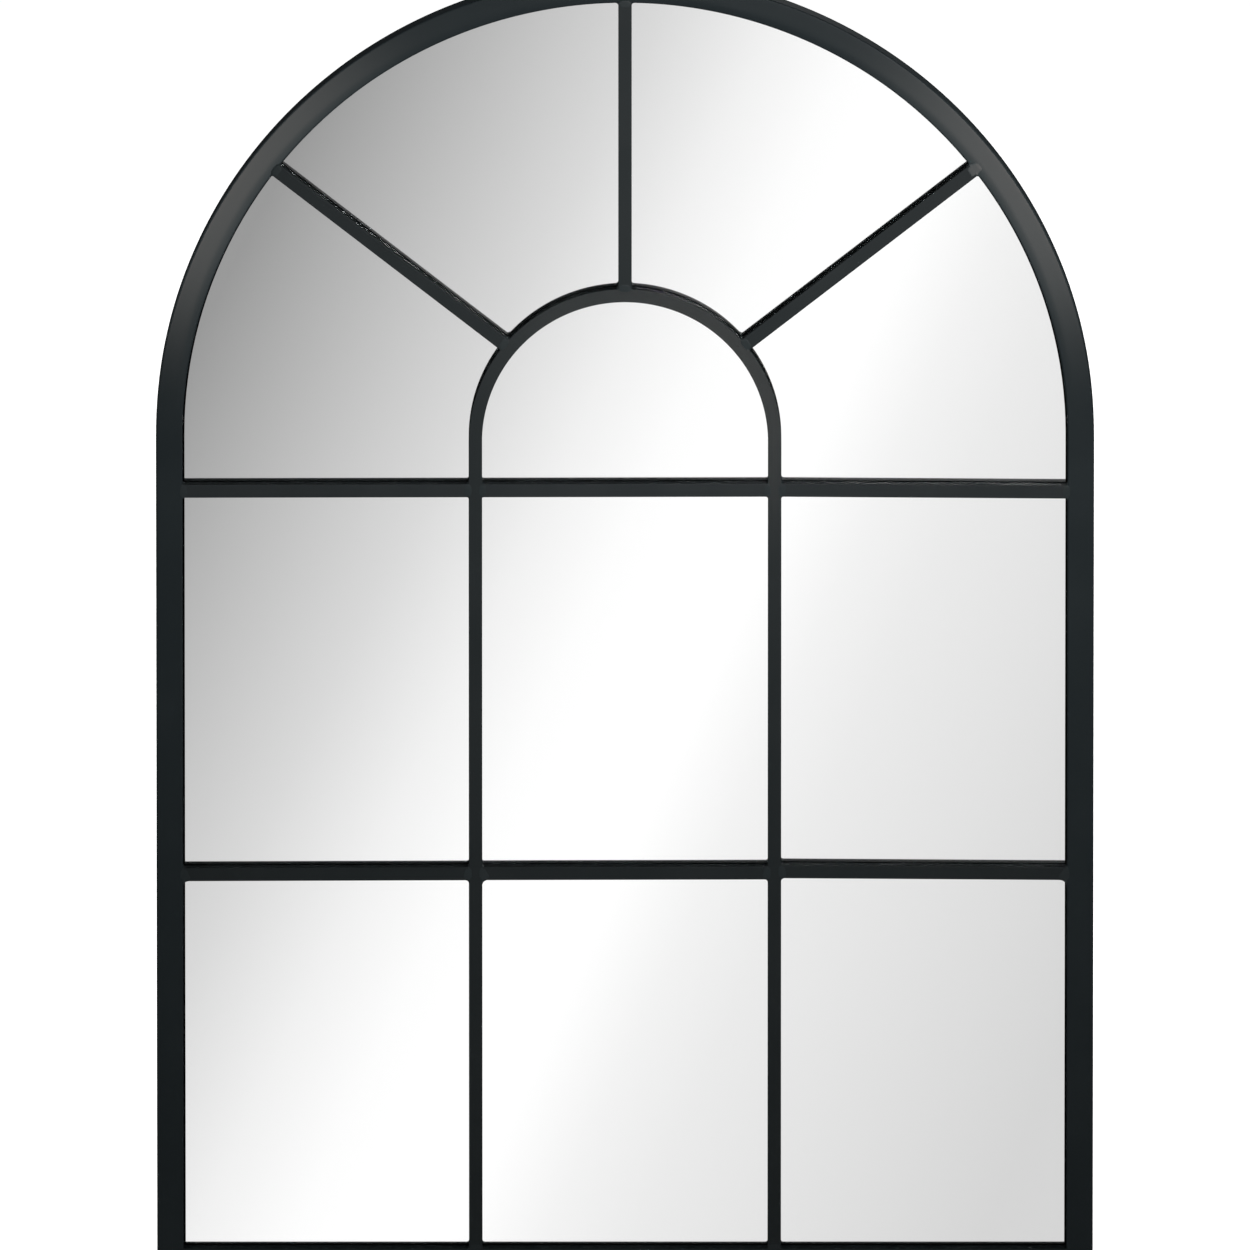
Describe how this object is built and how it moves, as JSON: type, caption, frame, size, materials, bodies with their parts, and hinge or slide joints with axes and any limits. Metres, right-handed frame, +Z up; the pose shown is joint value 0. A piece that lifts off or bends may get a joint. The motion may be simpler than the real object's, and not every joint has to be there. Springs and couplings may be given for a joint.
{
  "type": "arched window mirror",
  "caption": "Round-topped wall mirror in a square steel tube frame, with a small inner arch, spokes and short bars across the glass like a window.",
  "frame": {"origin": "centre of the big arch, on the wall plane that the rear bumpers touch, midway between and level with the two wall hooks", "axes": "+Z up, -Y out of the mirror's front, +Y into the wall, +X to the right as seen from the front"},
  "size_m": [0.7, 0.026, 0.99],
  "materials": {
    "black_steel": "satin black powder coat",
    "mirror_silver": "clear float glass, silvered behind",
    "fibreboard": "raw brown medium-density fibreboard",
    "zinc_steel": "bright zinc plating",
    "black_rubber": "matt black rubber"
  },
  "bodies": {
    "frame": {"outer_arch_tube": "black_steel", "bottom_rail_tube": "black_steel", "inner_arch_bar": "black_steel", "lower_bar_left": "black_steel", "lower_bar_centre": "black_steel", "lower_bar_right": "black_steel", "upper_bar_left": "black_steel", "upper_bar_centre": "black_steel", "upper_bar_right": "black_steel", "spoke_left": "black_steel", "spoke_centre": "black_steel", "spoke_right": "black_steel", "mirror_glass": "mirror_silver", "backing_board": "fibreboard", "tab_left_low": "black_steel", "tab_left_high": "black_steel", "tab_right_low": "black_steel", "tab_right_high": "black_steel", "tab_rail_left": "black_steel", "tab_rail_right": "black_steel", "tab_arch_left": "black_steel", "tab_arch_top": "black_steel", "tab_arch_right": "black_steel", "tab_screw_left_low": "zinc_steel", "tab_screw_left_high": "zinc_steel", "tab_screw_right_low": "zinc_steel", "tab_screw_right_high": "zinc_steel", "tab_screw_rail_left": "zinc_steel", "tab_screw_rail_right": "zinc_steel", "tab_screw_arch_left": "zinc_steel", "tab_screw_arch_top": "zinc_steel", "tab_screw_arch_right": "zinc_steel", "hanger_strap_left": "zinc_steel", "hanger_screw_left": "zinc_steel", "hanger_strap_right": "zinc_steel", "hanger_screw_right": "zinc_steel", "bumper_low_left": "black_rubber", "bumper_high_left": "black_rubber", "bumper_low_right": "black_rubber", "bumper_high_right": "black_rubber"},
    "ring_left": {"hanger_ring_left": "zinc_steel"},
    "ring_right": {"hanger_ring_right": "zinc_steel"}
  },
  "joints": [
    {"name": "ring_left_swing", "type": "hinge", "parent": "frame", "child": "ring_left", "pos_m": [-0.34, -0.0031, -0.022], "axis": [1, 0, 0], "range_deg": [-2, 182]},
    {"name": "ring_right_swing", "type": "hinge", "parent": "frame", "child": "ring_right", "pos_m": [0.34, -0.0031, -0.022], "axis": [1, 0, 0], "range_deg": [-2, 182]}
  ]
}
